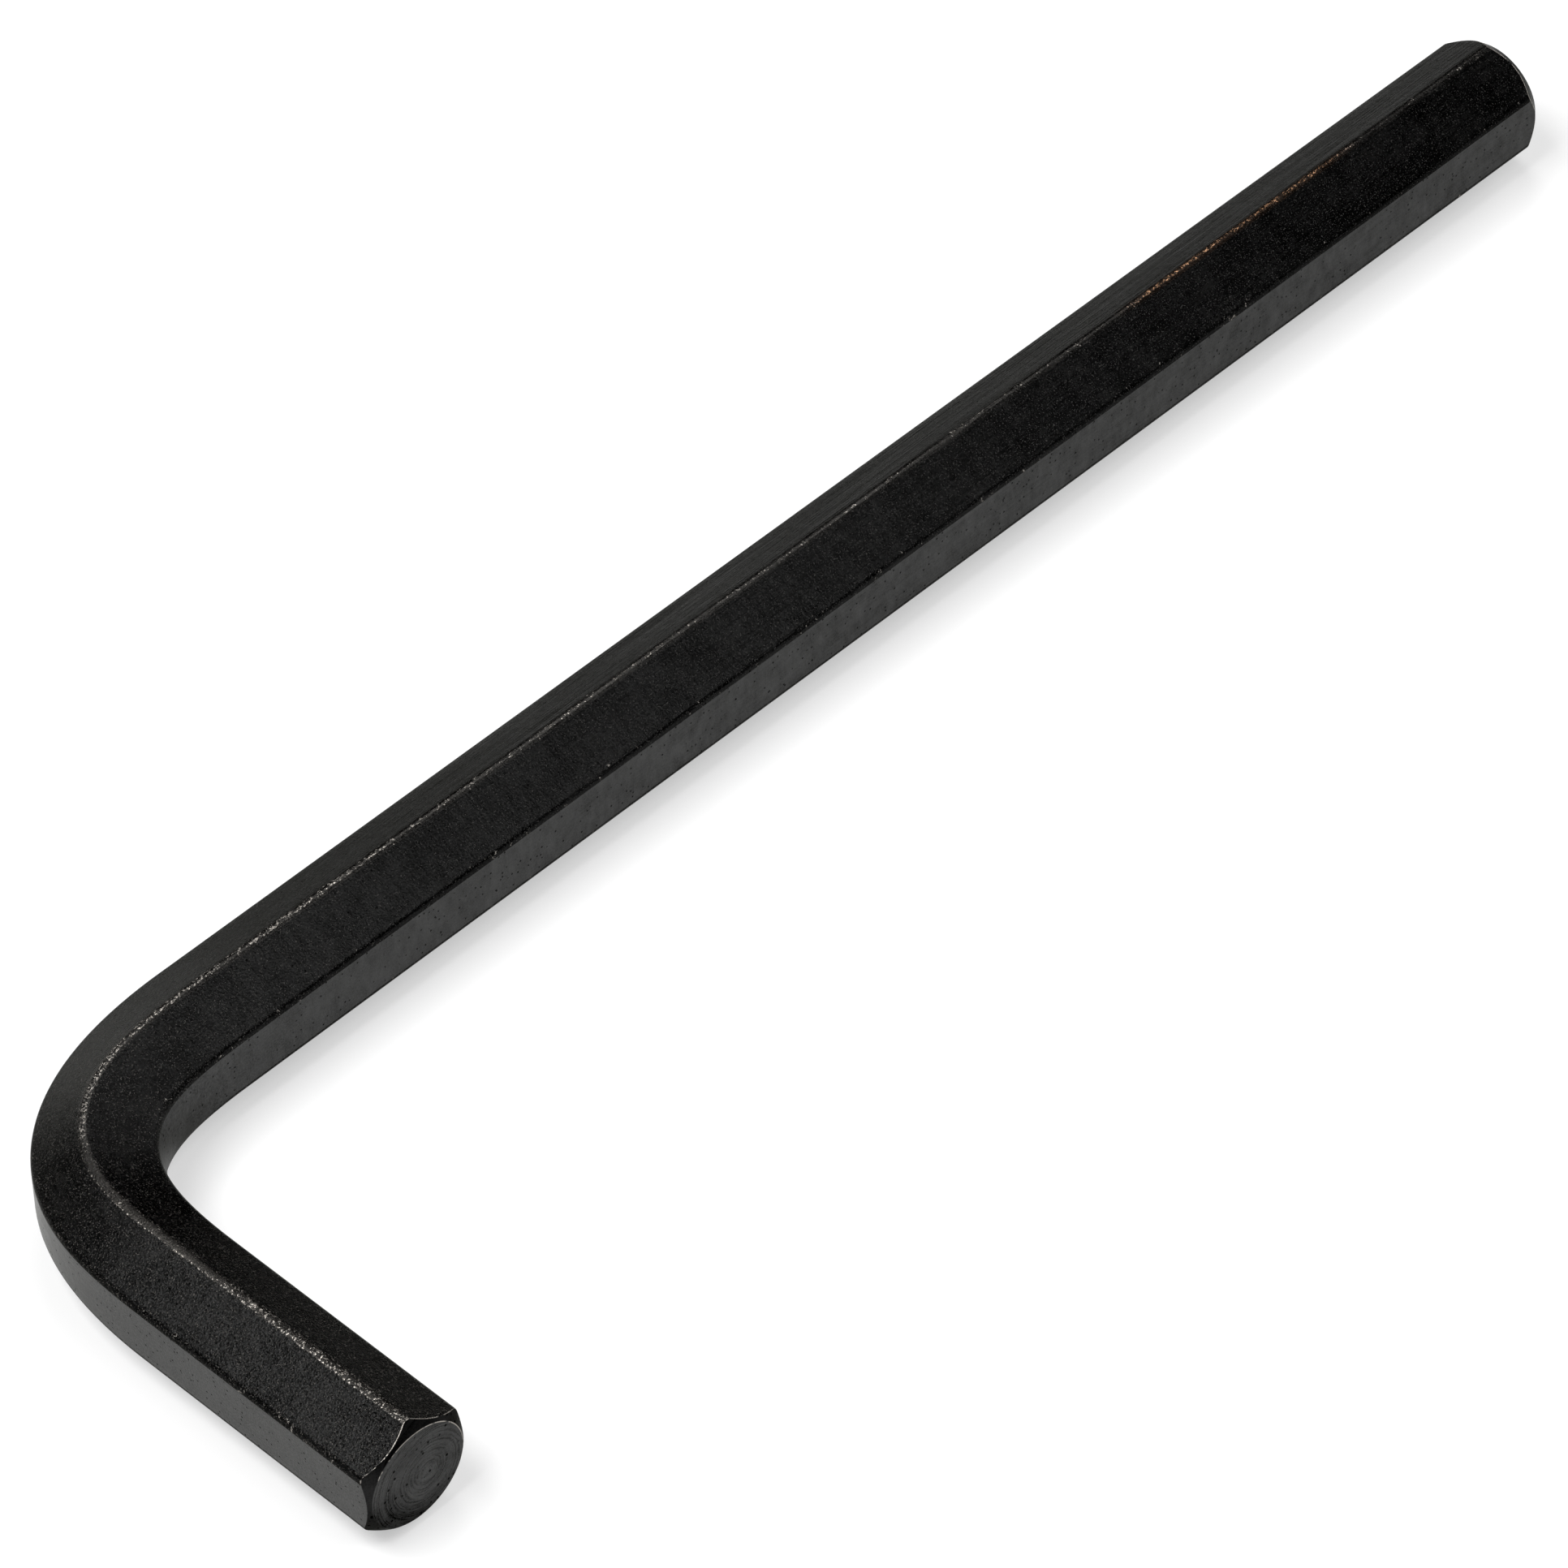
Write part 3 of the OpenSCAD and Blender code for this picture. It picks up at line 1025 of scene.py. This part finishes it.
def add_lamp(scene, name, azimuth, elevation, distance, width, height, radiance):
    """A rectangular lamp that faces the key from the given direction."""
    turn = math.radians(azimuth)
    tilt = math.radians(elevation)
    toward = Vector((math.cos(tilt) * math.cos(turn), math.cos(tilt) * math.sin(turn),
                     math.sin(tilt)))
    lamp = bpy.data.lights.new(name, "AREA")
    lamp.shape = "RECTANGLE"
    lamp.size = width
    lamp.size_y = height
    lamp.energy = radiance * math.pi * width * height
    lamp_object = bpy.data.objects.new(name, lamp)
    lamp_object.location = toward * distance
    lamp_object.rotation_mode = "QUATERNION"
    lamp_object.rotation_quaternion = toward.to_track_quat("Z", "Y")
    scene.collection.objects.link(lamp_object)


class HEXKEY_OT_make_stage(bpy.types.Operator):
    """Make the studio floor, the lamps and the camera"""

    bl_idname = "hexkey.make_stage"
    bl_label = "Make Stage"

    def execute(self, context):
        scene = context.scene
        self.make_floor(scene)
        self.make_lights(scene)
        self.make_camera(scene)
        scene.view_settings.view_transform = "Standard"
        return {"FINISHED"}

    def make_floor(self, scene):
        half = FLOOR_SIZE / 2
        mesh = bpy.data.meshes.new("studio_floor")
        corners = [(-half, -half, 0), (half, -half, 0), (half, half, 0), (-half, half, 0)]
        mesh.from_pydata(corners, [], [(0, 1, 2, 3)])
        mesh.materials.append(floor_material(scene.key_colours))
        floor = bpy.data.objects.new("studio_floor", mesh)
        scene.collection.objects.link(floor)

    def make_lights(self, scene):
        world = bpy.data.worlds.new("studio")
        world.use_nodes = True
        background = world.node_tree.nodes["Background"]
        background.inputs["Color"].default_value = (ROOM_LIGHT, ROOM_LIGHT, ROOM_LIGHT, 1)
        scene.world = world
        for lamp in LAMPS:
            add_lamp(scene, *lamp)

    def make_camera(self, scene):
        stage = scene.stage_settings
        azimuth = stage.camera_azimuth
        elevation = stage.camera_elevation
        back = Vector((math.sin(azimuth) * math.cos(elevation),
                       -math.cos(azimuth) * math.cos(elevation),
                       math.sin(elevation)))
        right = Vector((0, 0, 1)).cross(back).normalized()
        up = back.cross(right)
        roll = stage.camera_roll
        x_axis = right * math.cos(roll) + up * math.sin(roll)
        y_axis = up * math.cos(roll) - right * math.sin(roll)
        turn = Matrix((x_axis, y_axis, back)).transposed()
        camera_data = bpy.data.cameras.new("camera")
        camera_data.lens = stage.camera_lens
        camera_data.sensor_width = SENSOR_WIDTH
        camera_data.clip_start = 0.01
        camera_data.clip_end = 10
        camera = bpy.data.objects.new("camera", camera_data)
        place = Matrix.Translation(Vector(stage.look_at) + back * stage.camera_distance)
        camera.matrix_world = place @ turn.to_4x4()
        scene.collection.objects.link(camera)
        scene.camera = camera


class HEXKEY_PT_panel(bpy.types.Panel):
    """Sidebar panel with the key's sizes, its colours and the stage"""

    bl_idname = "HEXKEY_PT_panel"
    bl_label = "Hex Key"
    bl_space_type = "VIEW_3D"
    bl_region_type = "UI"
    bl_category = "Hex Key"

    def draw(self, context):
        scene = context.scene
        for title, group in (("Sizes", scene.key_sizes), ("Colours", scene.key_colours),
                             ("Stage", scene.stage_settings)):
            box = self.layout.box()
            box.label(text=title)
            for name in group.bl_rna.properties.keys():
                if name not in ("rna_type", "name"):
                    box.prop(group, name)
        self.layout.operator(HEXKEY_OT_make_key.bl_idname)
        self.layout.operator(HEXKEY_OT_make_stage.bl_idname)


CLASSES = (KeySizes, KeyColours, StageSettings, HEXKEY_OT_make_key, HEXKEY_OT_make_stage,
           HEXKEY_PT_panel)
GROUPS = {"key_sizes": KeySizes, "key_colours": KeyColours, "stage_settings": StageSettings}


def register():
    for cls in CLASSES:
        bpy.utils.register_class(cls)
    for name, group in GROUPS.items():
        setattr(bpy.types.Scene, name, bpy.props.PointerProperty(type=group))


def unregister():
    for name in GROUPS:
        delattr(bpy.types.Scene, name)
    for cls in reversed(CLASSES):
        bpy.utils.unregister_class(cls)


def main():
    register()
    bpy.ops.hexkey.make_key()
    bpy.ops.hexkey.make_stage()


if __name__ == "__main__":
    main()
